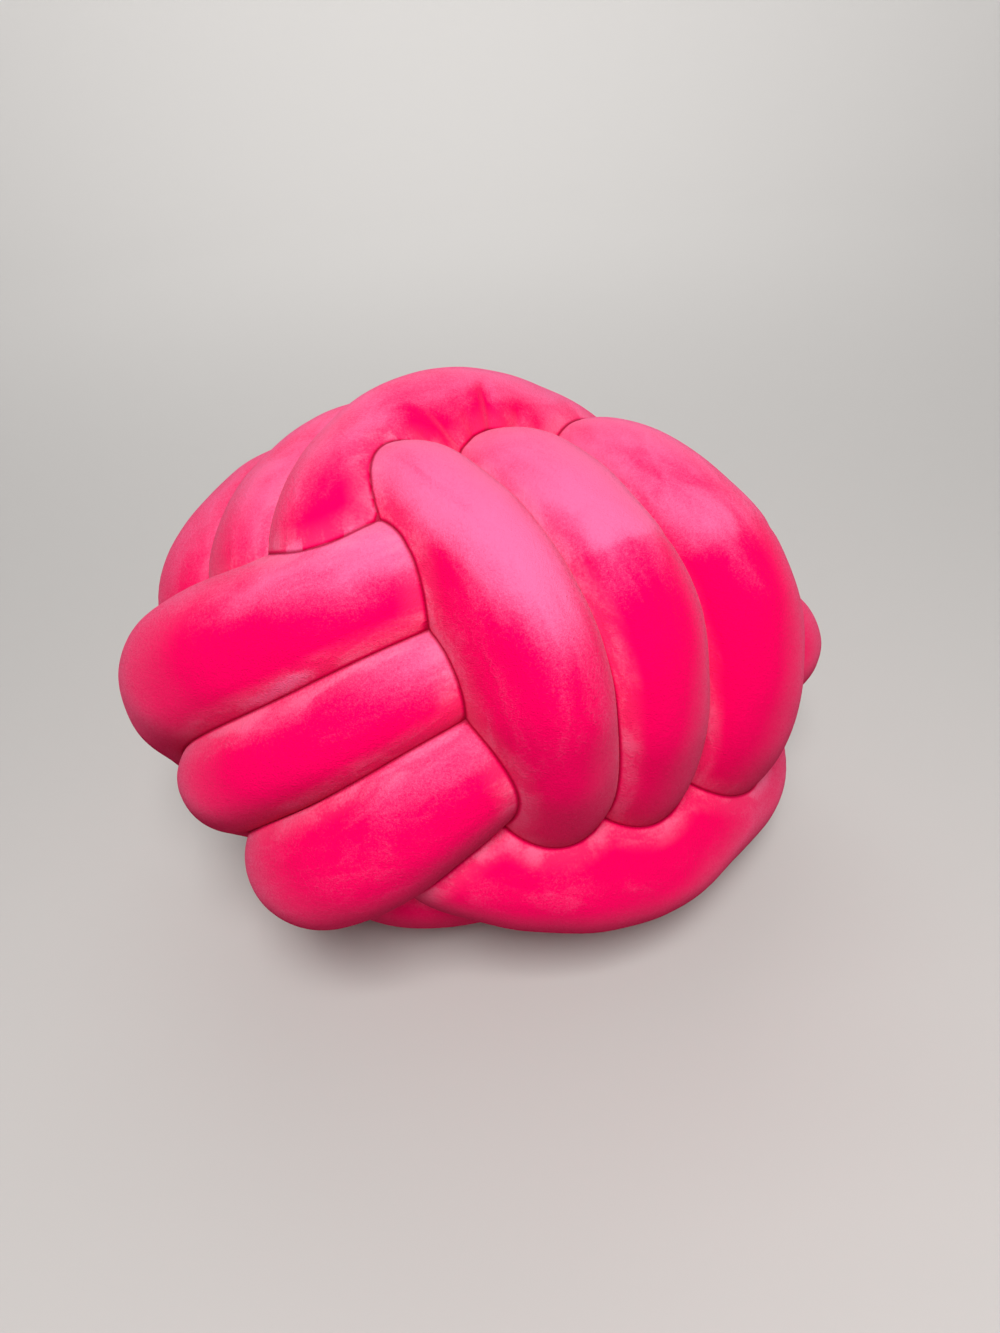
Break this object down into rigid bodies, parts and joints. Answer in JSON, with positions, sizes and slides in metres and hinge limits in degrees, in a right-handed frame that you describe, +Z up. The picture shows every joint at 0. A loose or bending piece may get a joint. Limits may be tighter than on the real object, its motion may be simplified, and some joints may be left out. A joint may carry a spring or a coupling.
{
  "type": "knot cushion",
  "caption": "Hot-pink plush knot cushion: a stuffed tube tied as a ball knot, its bands crossing over and under, lying on a small flat spot",
  "frame": {"origin": "middle of the bottom of the bounding box, on the surface the cushion rests on", "axes": "+Z up from the surface; -Y toward the viewer of the picture and +X to the viewer's right"},
  "size_m": [0.32, 0.2906, 0.2517],
  "materials": {
    "plush": "short-pile plush, matt with a soft sheen at the edges"
  },
  "bodies": {
    "root": {"knot_cushion": "plush"}
  },
  "joints": []
}
